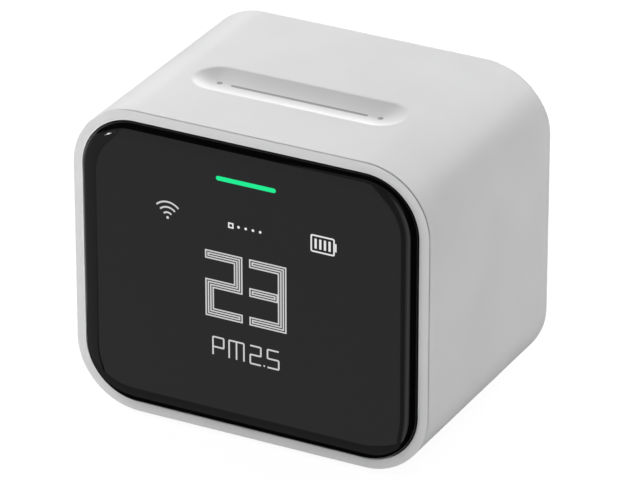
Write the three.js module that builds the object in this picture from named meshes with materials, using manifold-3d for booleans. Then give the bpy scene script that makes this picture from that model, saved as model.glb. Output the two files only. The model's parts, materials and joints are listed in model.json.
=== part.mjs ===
// A desk air quality monitor: a white wraparound sleeve with a touch groove in its top, a white front bezel
// round a domed black lens, and a vented rear cover. Inside are the display, the main board, a pouch battery,
// a fan-driven laser particle sensor, an infrared CO2 sensor, a climate sensor and a USB-C inlet, all carried
// by an inner chassis.
// Millimetres, +Z up, the display faces -Y. The origin is under the middle of the object, where it stands.
import * as THREE from "three";
import { mergeVertices } from "three/addons/utils/BufferGeometryUtils.js";
import Module from "manifold-3d";

const wasm = await Module();
wasm.setup();

// ---------------------------------------------------------------- driving dimensions
const WIDTH = 62; // sleeve, side to side
const HEIGHT = 52.4; // sleeve, top to bottom
const DEPTH = 43.6; // bezel face to the sleeve's rear rim
const CORNER = 11; // the sleeve's long corners
const CORNER_STEPS = { large: 9, small: 4 }; // facets in each rounded corner
const SMALL_CORNER = 4; // radius below which a corner gets the small number
const WALL = 1.6; // sleeve wall
const LENS_PROUD = 1.2; // lens front ahead of the bezel face
const FOOT_PROUD = 0.6; // foot pad below the sleeve
const RADIAL_STEPS = 24; // facets of the small round pieces

// Depths are measured backwards from the bezel face, and heights up and down from the sleeve's middle.
const FACE_Y = LENS_PROUD - (DEPTH + LENS_PROUD) / 2;
const MIDDLE_Z = FOOT_PROUD + HEIGHT / 2;
const TOP = HEIGHT / 2;
const BOTTOM = -HEIGHT / 2;

// Front: bezel band, lip joint, lens
const BAND = { width: 1.7, edge: 0.12, end: 0.14 }; // the white band round the lens, and its outer radius
const SEAM = 0.18; // gap between bezel and sleeve
const SLEEVE_FRONT = BAND.end + SEAM;
const LIP = { thick: 0.6, end: 3.4 }; // thinned front of the sleeve that the bezel's skirt fits into
const SKIRT_INSET = 0.85;
const LEDGE = { front: 1.9, back: 3.1, inner: 3.6 }; // shelf behind the lens
const TONGUE = { outer: 1.8, inner: 3.0, back: 6.2 }; // plugs into the sleeve's full wall
const LENS = { inset: 1.8, back: 1.7, shoulder: 2.1, shoulderRadius: 10, edge: 0.9 };

// Touch groove in the top
const GROOVE = { length: 36.8, width: 9.1, deep: 0.9, depth: 17, pad: 1.1 };
const MARK = { length: 24.2, width: 0.52, deep: 0.15, dot: 0.46, dotX: 14.1 }; // engraved along its bottom

// Board posts behind the bezel ledge, and the main board on them
const POST = { x: 24.5, z: 19.5, radius: 2.3, hole: 0.9, back: 6.4 };
const BOARD = { width: 53, height: 43, thick: 1.2, front: 6.5 };
const BOARD_BACK = BOARD.front + BOARD.thick;
const SOLDER_GAP = 0.05; // between a mounted piece and what it is fixed to

// Display window and light bar
const PANEL = { width: 42, height: 32, thick: 1.5, front: 1.75, x: -0.25, z: -0.25 };
const LIGHT_BAR = { length: 10.6, height: 1.1, z: 18.1 };
const CARRIER = { width: 50, height: 40, corner: 5, thick: 1, front: 3.4 };

// Sockets on the back of the main board
const SOCKETS = {
  battery_socket: { x: 17.5, z: 17.2, width: 6, thick: 3, height: 3.6 },
  sensor_socket: { x: 4, z: 17, width: 5.6, thick: 2.6, height: 3.6 },
  touch_socket: { x: -4, z: 16.9, width: 6, thick: 1.2, height: 2 },
  power_socket: { x: 0, z: -17.6, width: 12, thick: 1.4, height: 2.2 },
};

// Battery, chassis and sensors, from front to back
const BATTERY = { width: 50, height: 34, thick: 10, front: 12, z: -3 };
const CHASSIS = { inset: 2.0, wall: 1.0, front: 9, back: 36.5, plate: 22.6, plateThick: 1.4 };
const SENSOR = { width: 34.5, height: 33, x: -9, z: 4, front: 25, back: 36.9, wall: 1 };
const SENSOR_PLUG = { x: 4, z: 17, width: 5.6, height: 3, front: 24.6, thick: 2.2 };
const INLET = { x: 2.8, z: 3, width: 6, height: 14 };
const ROTOR = { blades: 7, root: 4.95, tip: 10.2, hub: 5.3, cavity: 4.65, pitch: 0.7 };
const FAN = { x: -13.1, z: 7.35, size: 23.4, bore: 11, front: 29, back: 36.6 };
const CO2 = { x: 18, z: 3, width: 16, height: 30, board: 25.4, front: 26.45, back: 34 };
const USB = { z: -17.6, width: 8.94, height: 3.26, wall: 0.3, front: 35.6, back: 42.6 };
const USB_BOARD = { width: 20, length: 9.8, thick: 1, front: 31, top: -19.3 };
const USB_SCREW = { x: 7.8, depth: 34, head: 1.3, shank: 0.55, hole: 0.8, boss: 1.6 };
const CLIMATE = { x: 19, z: -16.6, width: 9, height: 7, front: 38.4, thick: 0.8 };

// Rear cover
const COVER = { inset: 1.9, front: 41.4, back: 43, skirt: 1.1, skirtFront: 37.4 };
const SLOT = { width: 1.5, length: 10.4, pitch: 3.2, columns: 14, rows: [14.2, 2.4] };
const CATCH = { length: 7.4, deep: 0.8, proud: 0.5, depth: 38.9, x: 12 };

// Foot pad and its hidden screws
const FOOT = { width: 42, length: 26, corner: 6, pocket: 0.8, clearance: 0.3 };
const FOOT_SCREW = { x: 14, head: 2, headThick: 0.7, shank: 0.75, hole: 1.1, tip: -21 };
const FOOT_BOSS = { radius: 2.4, top: -20.3, bore: 0.95 };

// ---------------------------------------------------------------- materials
function plastic(color, roughness = 0.6) {
  return new THREE.MeshStandardMaterial({ color, roughness, metalness: 0 });
}
function metal(color, roughness = 0.35) {
  return new THREE.MeshStandardMaterial({ color, roughness, metalness: 1 });
}
const MATERIAL = {
  white: plastic(0xe6e6e6, 0.5),
  lens: plastic(0x0a0a0b, 0.08),
  black: plastic(0x17181a, 0.7),
  glass: plastic(0x101216, 0.1),
  acrylic: plastic(0xdff5ea, 0.3),
  board: plastic(0x14502f, 0.5),
  flex: plastic(0xb46a1c, 0.45),
  ivory: plastic(0xe9e3d0, 0.55),
  foam: plastic(0x2b2b2d, 0.95),
  rubber: plastic(0xb9babc, 0.85),
  grey: plastic(0x8e9194, 0.6),
  red: plastic(0xb3241d, 0.5),
  pouch: metal(0xb9bdc2, 0.45),
  steel: metal(0xc3c6ca, 0.3),
  brass: metal(0xc7a04b, 0.3),
  gold: metal(0xd9b24e, 0.25),
  copper: metal(0xb8693c, 0.4),
  magnet: metal(0x4a4c50, 0.5),
};

// ---------------------------------------------------------------- shapes and solids
const monitor = new THREE.Group();

// Adds one named piece, given in depth and height from the bezel face and the sleeve's middle.
function add(name, geometry, material) {
  const mesh = new THREE.Mesh(geometry, material);
  mesh.name = name;
  mesh.position.set(0, FACE_Y, MIDDLE_Z);
  monitor.add(mesh);
}

// A THREE geometry as a manifold-3d solid.
function solid(geometry) {
  const bare = geometry.index ? geometry.toNonIndexed() : geometry.clone();
  bare.deleteAttribute("normal");
  bare.deleteAttribute("uv");
  const merged = mergeVertices(bare, 1e-4);
  return new wasm.Manifold(
    new wasm.Mesh({
      numProp: 3,
      vertProperties: merged.attributes.position.array,
      triVerts: new Uint32Array(merged.index.array),
    }),
  );
}

// A manifold-3d solid as a THREE geometry.
function geometryOf(shape) {
  const mesh = shape.getMesh();
  const positions = new Float32Array(mesh.numVert * 3);
  for (let i = 0; i < mesh.numVert; i++)
    positions.set(mesh.vertProperties.subarray(i * mesh.numProp, i * mesh.numProp + 3), i * 3);
  const geometry = new THREE.BufferGeometry();
  geometry.setAttribute("position", new THREE.BufferAttribute(positions, 3));
  geometry.setIndex(new THREE.BufferAttribute(mesh.triVerts, 1));
  return geometry;
}

// body with every geometry in joined added and every geometry in removed taken away.
function carve(body, removed = [], joined = []) {
  let shape = solid(body);
  for (const piece of joined) shape = shape.add(solid(piece));
  for (const piece of removed) shape = shape.subtract(solid(piece));
  return geometryOf(shape);
}

// Corner points of a rounded rectangle, counter-clockwise seen from the front.
function roundedOutline(width, height, radius) {
  const points = [];
  const steps = radius < SMALL_CORNER ? CORNER_STEPS.small : CORNER_STEPS.large;
  const quarters = [[1, 1], [-1, 1], [-1, -1], [1, -1]];
  quarters.forEach(([sideX, sideZ], quarter) => {
    for (let step = 0; step <= steps; step++) {
      const angle = (Math.PI / 2) * (quarter + step / steps);
      const x = sideX * (width / 2 - radius) + radius * Math.cos(angle);
      const z = sideZ * (height / 2 - radius) + radius * Math.sin(angle);
      points.push([x, z]);
    }
  });
  return points;
}

// Skins a run of outlines placed at depths. A ring closes on itself, and a solid gets flat end caps.
function skin(sections, isRing) {
  const count = sections[0].outline.length;
  const positions = [];
  for (const { outline, depth } of sections)
    for (const [x, z] of outline) positions.push(x, depth, z);
  const indices = [];
  const spans = isRing ? sections.length : sections.length - 1;
  for (let s = 0; s < spans; s++) {
    const here = s * count;
    const next = ((s + 1) % sections.length) * count;
    for (let i = 0; i < count; i++) {
      const j = (i + 1) % count;
      indices.push(here + i, next + i, next + j, here + i, next + j, here + j);
    }
  }
  if (!isRing) {
    const last = (sections.length - 1) * count;
    for (let i = 1; i < count - 1; i++) indices.push(0, i, i + 1, last, last + i + 1, last + i);
  }
  const geometry = new THREE.BufferGeometry();
  geometry.setAttribute("position", new THREE.BufferAttribute(new Float32Array(positions), 3));
  geometry.setIndex(indices);
  return geometry;
}

// The sleeve's outline, a distance in from its outer surface.
function bodyOutline(inset) {
  return roundedOutline(WIDTH - 2 * inset, HEIGHT - 2 * inset, CORNER - inset);
}

// A frame that runs round the body: profile points are [inset, depth], going back along the outside first.
function bodyRing(profile) {
  return skin(profile.map(([inset, depth]) => ({ outline: bodyOutline(inset), depth })), true);
}

// A solid of the body's outline: the same points, from front to back.
function bodySolid(profile) {
  return skin(profile.map(([inset, depth]) => ({ outline: bodyOutline(inset), depth })), false);
}

// A box of width x thickness x height whose front is at depth and whose middle is at x, z.
function block(width, thick, height, x, depth, z) {
  return new THREE.BoxGeometry(width, thick, height).translate(x, depth + thick / 2, z);
}

// A rounded slab facing the front, as block.
function slab(width, thick, height, radius, x, depth, z) {
  const outline = roundedOutline(width, height, radius).map(([px, pz]) => [px + x, pz + z]);
  return skin([{ outline, depth }, { outline, depth: depth + thick }], false);
}

// A slab whose front and back edges are softened by edge.
function pillow(width, thick, height, radius, x, depth, z, edge) {
  const ring = (inset) =>
    roundedOutline(width - 2 * inset, height - 2 * inset, radius - inset).map(([px, pz]) => [px + x, pz + z]);
  return skin(
    [
      { outline: ring(edge), depth },
      { outline: ring(0.3 * edge), depth: depth + 0.3 * edge },
      { outline: ring(0), depth: depth + edge },
      { outline: ring(0), depth: depth + thick - edge },
      { outline: ring(0.3 * edge), depth: depth + thick - 0.3 * edge },
      { outline: ring(edge), depth: depth + thick },
    ],
    false,
  );
}

// A level slab under the body, from low to high, centred on the object's own middle.
function levelSlab(width, length, radius, low, high) {
  const outline = roundedOutline(width, length, radius);
  const flat = skin([{ outline, depth: 0 }, { outline, depth: high - low }], false);
  return flat.rotateX(Math.PI / 2).translate(0, -FACE_Y, low);
}

// A round bar along the depth, from front to back.
function rod(radius, front, back, x = 0, z = 0, steps = RADIAL_STEPS) {
  return new THREE.CylinderGeometry(radius, radius, back - front, steps).translate(x, (front + back) / 2, z);
}

// A round upright bar, from low to high.
function upright(radius, low, high, x, depth, steps = RADIAL_STEPS) {
  return new THREE.CylinderGeometry(radius, radius, high - low, steps)
    .rotateX(Math.PI / 2)
    .translate(x, depth, (low + high) / 2);
}

// A tube wall along the depth.
function bush(outer, inner, front, back, x, z) {
  return carve(rod(outer, front, back, x, z), [rod(inner, front - 1, back + 1, x, z)]);
}

// A thin strip of a given width that follows [depth, height] points.
function ribbon(points, width, thick, x) {
  const line = points.map(([depth, z]) => new THREE.Vector2(depth, z));
  const side = (sign) =>
    line.map((point, i) => {
      const before = line[Math.max(i - 1, 0)];
      const after = line[Math.min(i + 1, line.length - 1)];
      const along = after.clone().sub(before).normalize();
      return new THREE.Vector2(-along.y, along.x).multiplyScalar((sign * thick) / 2).add(point);
    });
  const shape = new THREE.Shape([...side(1), ...side(-1).reverse()]);
  const strip = new THREE.ExtrudeGeometry(shape, { depth: width, bevelEnabled: false });
  // The shape's x is depth and its y is height, so the three axes turn round together.
  const turn = new THREE.Matrix4().makeBasis(
    new THREE.Vector3(0, 1, 0),
    new THREE.Vector3(0, 0, 1),
    new THREE.Vector3(1, 0, 0),
  );
  return strip.applyMatrix4(turn).translate(x - width / 2, 0, 0);
}

// A round wire through [x, depth, height] points.
function wire(points, radius) {
  const curve = new THREE.CatmullRomCurve3(points.map((point) => new THREE.Vector3(...point)));
  const section = new THREE.Shape();
  section.absarc(0, 0, radius, 0, 2 * Math.PI);
  return new THREE.ExtrudeGeometry(section, { steps: 14, curveSegments: 4, extrudePath: curve });
}

// The four mirrored places of a corner feature.
function corners(x, z) {
  return [[x, z], [-x, z], [-x, -z], [x, -z]];
}

// ---------------------------------------------------------------- sleeve
// The touch groove's cutter: a trough of constant radius with bowl ends.
function grooveCutter() {
  const half = GROOVE.width / 2;
  const radius = (half * half + GROOVE.deep * GROOVE.deep) / (2 * GROOVE.deep);
  const centre = TOP - GROOVE.deep + radius;
  const steps = 7;
  const arc = [];
  for (let i = 0; i <= steps; i++) {
    const angle = (Math.asin(half / radius) * i) / steps;
    arc.push(new THREE.Vector2(radius * Math.sin(angle), centre - radius * Math.cos(angle)));
  }
  const lid = TOP + 1;
  const bowl = [...arc, new THREE.Vector2(half, lid), new THREE.Vector2(0, lid)];
  const run = GROOVE.length - GROOVE.width;
  const trough = new THREE.Shape([
    ...arc.map((point) => new THREE.Vector2(-point.x, point.y)).reverse(),
    ...arc.slice(1),
    new THREE.Vector2(half, lid),
    new THREE.Vector2(-half, lid),
  ]);
  const middle = new THREE.ExtrudeGeometry(trough, { depth: run, bevelEnabled: false })
    .rotateX(Math.PI / 2)
    .rotateZ(Math.PI / 2)
    .translate(-run / 2, 0, 0);
  const ends = [-1, 1].map((side) =>
    new THREE.LatheGeometry(bowl, 32).rotateX(Math.PI / 2).translate((side * run) / 2, 0, 0),
  );
  return carve(middle, [], ends).translate(0, GROOVE.depth, 0);
}

// The engraved line and end dots in the groove's bottom.
function grooveMarks() {
  const low = TOP - GROOVE.deep - MARK.deep;
  const line = block(MARK.length, MARK.width, 2, 0, GROOVE.depth - MARK.width / 2, low + 1);
  const dots = [-1, 1].map((side) => upright(MARK.dot, low, low + 2, side * MARK.dotX, GROOVE.depth, 12));
  return [line, ...dots];
}

// The four ridges inside the sleeve that the rear cover's windows snap over.
function catchRidges() {
  const overlap = 0.2; // sunk into the wall
  const middle = TOP - WALL - (CATCH.proud - overlap) / 2;
  return [-1, 1].flatMap((side) =>
    [-CATCH.x, CATCH.x].map((x) =>
      block(CATCH.length, CATCH.deep, CATCH.proud + overlap, x, CATCH.depth - CATCH.deep / 2, side * middle),
    ),
  );
}

// The thicker patch of wall that the groove is sunk into.
function groovePad() {
  const overlap = 0.2;
  const margin = 2;
  return block(
    GROOVE.length + 2 * margin,
    GROOVE.width + 2 * margin,
    GROOVE.pad + overlap,
    0,
    GROOVE.depth - GROOVE.width / 2 - margin,
    TOP - WALL - (GROOVE.pad - overlap) / 2,
  );
}

function sleeveHousing() {
  const rim = 1; // radius of the rear edge
  const nose = 0.15; // broken front edge at the seam
  const shell = bodyRing([
    [nose, SLEEVE_FRONT],
    [0, SLEEVE_FRONT + nose],
    [0, DEPTH - rim],
    [0.134 * rim, DEPTH - 0.5 * rim],
    [0.5 * rim, DEPTH - 0.134 * rim],
    [rim, DEPTH],
    [WALL, DEPTH],
    [WALL, LIP.end],
    [LIP.thick, LIP.end],
    [LIP.thick, SLEEVE_FRONT],
  ]);
  const [pocketWidth, pocketLength] = [FOOT.width, FOOT.length].map((size) => size + 2 * FOOT.clearance);
  const pocket = levelSlab(pocketWidth, pocketLength, FOOT.corner, BOTTOM - 1, BOTTOM + FOOT.pocket);
  const holes = footScrewPlaces().map(([x, depth]) =>
    upright(FOOT_SCREW.hole, BOTTOM - 1, BOTTOM + 3, x, depth),
  );
  return carve(
    shell,
    [grooveCutter(), ...grooveMarks(), pocket, ...holes],
    [groovePad(), ...catchRidges()],
  );
}

function footScrewPlaces() {
  return [-1, 1].map((side) => [side * FOOT_SCREW.x, -FACE_Y]);
}

add("sleeve_housing", sleeveHousing(), MATERIAL.white);

// ---------------------------------------------------------------- front bezel, lens, display
function frontBezel() {
  const steps = 3;
  const edge = [];
  for (let i = steps; i >= 0; i--) {
    const angle = (Math.PI / 2) * (i / steps);
    edge.push([BAND.edge * (1 - Math.cos(angle)), BAND.edge * (1 - Math.sin(angle))]);
  }
  const chamfer = 0.15;
  const ring = bodyRing([
    ...edge,
    [0, BAND.end],
    [SKIRT_INSET, BAND.end],
    [SKIRT_INSET, LEDGE.back],
    [TONGUE.outer, LEDGE.back],
    [TONGUE.outer, TONGUE.back],
    [TONGUE.inner, TONGUE.back],
    [TONGUE.inner, LEDGE.back],
    [LEDGE.inner, LEDGE.back],
    [LEDGE.inner, LEDGE.front],
    [BAND.width, LEDGE.front],
    [BAND.width, chamfer],
    [BAND.width - chamfer, 0],
  ]);
  const posts = corners(POST.x, POST.z).map(([x, z]) => rod(POST.radius, LEDGE.front + 0.3, POST.back, x, z));
  const pilots = corners(POST.x, POST.z).map(([x, z]) => rod(POST.hole, LEDGE.back, POST.back + 1, x, z));
  return carve(ring, pilots, posts);
}

// The lens falls away from its flat front in a wide soft shoulder, then in a tight edge that ends upright.
function frontLens() {
  const { inset, back, shoulder, shoulderRadius, edge } = LENS;
  const turn = Math.asin(shoulder / shoulderRadius); // tilt where the shoulder meets the edge
  const edgeRadius = edge / (1 - Math.sin(turn));
  const shoulderDrop = shoulderRadius * (1 - Math.cos(turn));
  const edgeSteps = 5;
  const shoulderSteps = 3;
  const profile = [];
  for (let i = 0; i < edgeSteps; i++) {
    const tilt = Math.PI / 2 + (turn - Math.PI / 2) * (i / edgeSteps);
    const drop = shoulderDrop + edgeRadius * (Math.cos(turn) - Math.cos(tilt));
    profile.push([inset + edgeRadius * (1 - Math.sin(tilt)), drop - LENS_PROUD]);
  }
  for (let i = 0; i <= shoulderSteps; i++) {
    const tilt = turn * (1 - i / shoulderSteps);
    const drop = shoulderRadius * (1 - Math.cos(tilt));
    profile.push([inset + edge + shoulder - shoulderRadius * Math.sin(tilt), drop - LENS_PROUD]);
  }
  return bodySolid([...profile.reverse(), [inset, back]]);
}

function displayCarrier() {
  const shelf = 0.4; // clearance round the panel
  const wall = 0.8;
  const front = PANEL.front + 0.3;
  const [innerWidth, innerHeight] = [PANEL.width, PANEL.height].map((size) => size + 2 * shelf);
  const plate = slab(CARRIER.width, CARRIER.thick, CARRIER.height, CARRIER.corner, 0, CARRIER.front, 0);
  const fence = slab(
    innerWidth + 2 * wall,
    CARRIER.front - front + 0.2,
    innerHeight + 2 * wall,
    1.5,
    PANEL.x,
    front,
    PANEL.z,
  );
  const pocket = block(innerWidth, CARRIER.front - 1, innerHeight, PANEL.x, 1, PANEL.z);
  const posts = corners(POST.x, POST.z).map(([x, z]) => rod(POST.radius + 0.4, 0, 10, x, z));
  const flexWindow = block(15, 10, 7, PANEL.x, 0, PANEL.z - PANEL.height / 2 - 2);
  const lightSlot = block(LIGHT_BAR.length + 1, 10, LIGHT_BAR.height + 0.8, 0, 0, LIGHT_BAR.z);
  return carve(plate, [pocket, flexWindow, lightSlot, ...posts], [fence]);
}

function lightGuide() {
  const { length, height, z } = LIGHT_BAR;
  const bar = slab(length, 3.9, height, height / 2 - 0.01, 0, LENS.back + SOLDER_GAP, z);
  const flange = block(length + 4, 0.8, 2.6, 0, CARRIER.front + CARRIER.thick + SOLDER_GAP, z);
  return carve(bar, [], [flange]);
}

const panelBottom = PANEL.z - PANEL.height / 2;

// The display's ribbon cable, folded round the carrier to the main board.
function displayFlex() {
  const fold = [[2.6, -0.1], [2.7, -1.2], [3.3, -2.1], [4.2, -2.1], [4.9, -1.2], [5.1, 1]];
  return ribbon(fold.map(([depth, below]) => [depth, panelBottom + below]), 12, 0.2, PANEL.x);
}

add("front_bezel", frontBezel(), MATERIAL.white);
add("lens_tape", bodyRing([[1.9, 1.74], [1.9, 1.86], [3.4, 1.86], [3.4, 1.74]]), MATERIAL.foam);
add("front_lens", frontLens(), MATERIAL.lens);
add(
  "display_panel",
  block(PANEL.width, PANEL.thick, PANEL.height, PANEL.x, PANEL.front, PANEL.z),
  MATERIAL.glass,
);
add("display_carrier", displayCarrier(), MATERIAL.black);
add("display_flex", displayFlex(), MATERIAL.flex);
add("display_socket", block(13.4, 1.2, 2.2, PANEL.x, BOARD.front - 1.25, panelBottom + 2.3), MATERIAL.ivory);
add("indicator_light_guide", lightGuide(), MATERIAL.acrylic);

// ---------------------------------------------------------------- main board
function mainBoard() {
  const plate = slab(BOARD.width, BOARD.thick, BOARD.height, 2, 0, BOARD.front, 0);
  const holes = corners(POST.x, POST.z).map(([x, z]) => rod(1.05, BOARD.front - 1, BOARD_BACK + 1, x, z, 16));
  return carve(plate, holes);
}

function boardScrew([x, z]) {
  const head = rod(1.45, BOARD_BACK + SOLDER_GAP, BOARD_BACK + 1, x, z, 18);
  const shank = rod(0.7, LEDGE.back + 0.4, BOARD_BACK + 0.4, x, z, 12);
  const drive = 0.45; // cross recess
  const recess = [[1.7, drive], [drive, 1.7]].map(([w, h]) => block(w, 1, h, x, BOARD_BACK + 0.6, z));
  return carve(head, recess, [shank]);
}

add("main_board", mainBoard(), MATERIAL.board);
corners(POST.x, POST.z).forEach((place, i) => add(`board_screw_${i + 1}`, boardScrew(place), MATERIAL.steel));
add("indicator_led", block(8, 0.55, 1.4, 0, BOARD.front - 0.6, LIGHT_BAR.z), MATERIAL.ivory);
add("wifi_module", block(13, 0.8, 16, -15, BOARD_BACK + SOLDER_GAP, 11), MATERIAL.board);
add("wifi_shield", slab(11.6, 1.9, 11, 0.6, -15, BOARD_BACK + 0.9, 9.2), MATERIAL.steel);
add("processor_shield", slab(14, 1.6, 13, 0.8, 4, BOARD_BACK + SOLDER_GAP, 2), MATERIAL.steel);
for (const [name, { x, z, width, thick, height }] of Object.entries(SOCKETS))
  add(name, block(width, thick, height, x, BOARD_BACK + SOLDER_GAP, z), MATERIAL.ivory);

// ---------------------------------------------------------------- touch strip under the groove
function touchFlex() {
  const under = TOP - WALL - GROOVE.pad - 0.35;
  const grooveFront = GROOVE.depth - GROOVE.width / 2;
  const electrode = block(GROOVE.length - 3, GROOVE.width - 1, 0.25, 0, grooveFront + 0.5, under);
  const tail = ribbon(
    [[grooveFront + 1, under], [9.6, under], [8.7, under - 0.4], [8.3, under - 1.4], [8.2, under - 5]],
    5,
    0.15,
    SOCKETS.touch_socket.x,
  );
  return carve(electrode, [], [tail]);
}

add("touch_sensor_flex", touchFlex(), MATERIAL.flex);

// ---------------------------------------------------------------- battery
const batteryTop = BATTERY.z + BATTERY.height / 2;
add(
  "battery_pack",
  pillow(BATTERY.width, BATTERY.thick, BATTERY.height, 3, 0, BATTERY.front, BATTERY.z, 1.6),
  MATERIAL.pouch,
);
add("battery_protection_board", block(30, 2.6, 1, -2, BATTERY.front + 3.7, batteryTop + 0.7), MATERIAL.board);

// A lead from the battery's protection board to its socket, offset sideways and back.
function batteryLead(offset) {
  const { x, z } = SOCKETS.battery_socket;
  const route = [
    [13.8, 17 + offset, batteryTop + 0.9],
    [x + offset - 1.6, 16.4 + offset, batteryTop + 1.8],
    [x + offset, 13.6, batteryTop + 2.9],
    [x + offset, BOARD_BACK + 3.25, z],
  ];
  return wire(route, 0.45);
}

add("battery_lead_positive", batteryLead(0.9), MATERIAL.red);
add("battery_lead_negative", batteryLead(-0.9), MATERIAL.black);

// ---------------------------------------------------------------- inner chassis
function innerChassis() {
  const inner = CHASSIS.inset + CHASSIS.wall;
  const tube = bodyRing([
    [CHASSIS.inset, CHASSIS.front],
    [CHASSIS.inset, CHASSIS.back],
    [inner, CHASSIS.back],
    [inner, CHASSIS.front],
  ]);
  const plate = bodySolid([
    [CHASSIS.inset + 0.3, CHASSIS.plate],
    [CHASSIS.inset + 0.3, CHASSIS.plate + CHASSIS.plateThick],
  ]);
  const bosses = footScrewPlaces().map(([x, depth]) =>
    upright(FOOT_BOSS.radius, BOTTOM + CHASSIS.inset, FOOT_BOSS.top, x, depth),
  );
  const bossHoles = footScrewPlaces().map(([x, depth]) => upright(FOOT_BOSS.bore, BOTTOM, -15, x, depth));
  const grooveWindow = block(GROOVE.length + 6, 20, 6, 0, CHASSIS.front - 1, TOP - 4);
  const plateCut = (width, height, x, z) => block(width, 4, height, x, CHASSIS.plate - 1, z);
  const plateWindows = [
    plateCut(26, 6, 11.5, 17), // battery and sensor cables
    plateCut(14, 3.6, 0, -21.3), // power flex
    plateCut(16, 12, 12, 4),
    plateCut(16, 12, -12, 4),
  ];
  const rearNotch = block(24, 20, 8, 0, 28, BOTTOM + 2);
  return carve(tube, [grooveWindow, ...plateWindows, rearNotch, ...bossHoles], [plate, ...bosses]);
}

add("inner_chassis", innerChassis(), MATERIAL.grey);

// ---------------------------------------------------------------- particle sensor and its fan
function sensorTray() {
  const { width, height, x, z, front, back, wall } = SENSOR;
  const outside = slab(width, back - front, height, 1.5, x, front, z);
  const hollow = slab(width - 2 * wall, 20, height - 2 * wall, 0.8, x, front + wall, z);
  const plugGate = block(6.4, 3, 3.8, SENSOR_PLUG.x, SENSOR.front - 1, SENSOR_PLUG.z);
  return carve(outside, [hollow, plugGate]);
}

function sensorLid() {
  const plate = slab(SENSOR.width, 0.8, SENSOR.height, 1.5, SENSOR.x, SENSOR.back + SOLDER_GAP, SENSOR.z);
  const fanHole = rod(FAN.bore - 0.3, SENSOR.back - 1, SENSOR.back + 3, FAN.x, FAN.z, 36);
  const inlet = block(INLET.width, 4, INLET.height, INLET.x, SENSOR.back - 1, INLET.z);
  return carve(plate, [fanHole, inlet]);
}

function fanFrame() {
  const thick = FAN.back - FAN.front;
  const body = slab(FAN.size, thick, FAN.size, 2, FAN.x, FAN.front, FAN.z);
  const bore = rod(FAN.bore, FAN.front - 1, FAN.back + 1, FAN.x, FAN.z, 36);
  const hub = rod(5, FAN.front, FAN.front + 1, FAN.x, FAN.z);
  const tube = rod(2.7, FAN.front + 0.5, FAN.front + 5, FAN.x, FAN.z);
  const arms = [0, 1, 2].map((turn) =>
    new THREE.BoxGeometry(1.4, 1, FAN.bore + 1)
      .translate(0, 0, (FAN.bore + 1) / 2)
      .rotateY((turn * 2 * Math.PI) / 3 + 0.4)
      .translate(FAN.x, FAN.front + 0.5, FAN.z),
  );
  const seat = rod(2.1, FAN.front + 0.6, FAN.back, FAN.x, FAN.z);
  return carve(carve(body, [bore]), [], [carve(hub, [seat], [tube, ...arms])]);
}

// Bladed cup that turns over the stator.
function fanRotor() {
  const front = FAN.front + 1.4;
  const back = FAN.front + 6.4;
  const blades = [];
  for (let i = 0; i < ROTOR.blades; i++)
    blades.push(
      new THREE.BoxGeometry(0.8, 4.6, ROTOR.tip - ROTOR.root)
        .rotateZ(ROTOR.pitch)
        .translate(0, (front + back) / 2, (ROTOR.tip + ROTOR.root) / 2)
        .rotateY((i * 2 * Math.PI) / ROTOR.blades)
        .translate(FAN.x, 0, FAN.z),
    );
  const cavity = rod(ROTOR.cavity, front - 1, back - 1, FAN.x, FAN.z);
  return carve(rod(ROTOR.hub, front, back, FAN.x, FAN.z, 30), [cavity], blades);
}

// The stator's core: a ring with four poles.
function fanStator() {
  const front = FAN.front + 1.6;
  const back = FAN.front + 4.4;
  const poles = [0, 1].map((turn) =>
    new THREE.BoxGeometry(7.6, back - front - 0.6, 1.5)
      .rotateY((turn * Math.PI) / 2)
      .translate(FAN.x, (front + back) / 2, FAN.z),
  );
  const bore = rod(2.85, front - 1, back + 1, FAN.x, FAN.z);
  return carve(rod(3.3, front, back, FAN.x, FAN.z), [bore], poles);
}

function sensorPlug() {
  const { x, z, width, height, front, thick } = SENSOR_PLUG;
  return block(width, thick, height, x, front, z);
}

add("sensor_tray", sensorTray(), MATERIAL.black);
add("sensor_lid", sensorLid(), MATERIAL.black);
add("sensor_circuit_board", block(30, 1, 23, SENSOR.x, SENSOR.front + 1.3, 0.4), MATERIAL.board);
add("particle_detector", block(4, 1, 4, INLET.x, SENSOR.front + 2.35, INLET.z), MATERIAL.glass);
add("laser_diode", upright(2.5, -10.8, -5.4, INLET.x, SENSOR.front + 5), MATERIAL.brass);
add("fan_frame", fanFrame(), MATERIAL.black);
add("fan_bearing", bush(2, 0.9, FAN.front + 0.7, FAN.front + 4.8, FAN.x, FAN.z), MATERIAL.brass);
add("fan_stator", fanStator(), MATERIAL.copper);
add("fan_rotor", fanRotor(), MATERIAL.black);
add("fan_shaft", rod(0.75, FAN.front + 0.75, FAN.front + 5.35, FAN.x, FAN.z), MATERIAL.steel);
add("fan_magnet", bush(4.5, 4.05, FAN.front + 1.6, FAN.front + 4.8, FAN.x, FAN.z), MATERIAL.magnet);
add("sensor_plug", sensorPlug(), MATERIAL.ivory);
add(
  "sensor_cable",
  ribbon([[24.4, 17], [22, 17.4], [16, 17.6], [12, 17.3], [10.5, 17]], 4.4, 0.5, SENSOR_PLUG.x),
  MATERIAL.grey,
);
add(
  "inlet_gasket",
  carve(
    block(INLET.width + 3, 3.05, INLET.height + 3, INLET.x, SENSOR.back + 0.95, INLET.z),
    [block(INLET.width + 0.4, 6, INLET.height + 0.4, INLET.x, SENSOR.back, INLET.z)],
  ),
  MATERIAL.foam,
);

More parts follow.
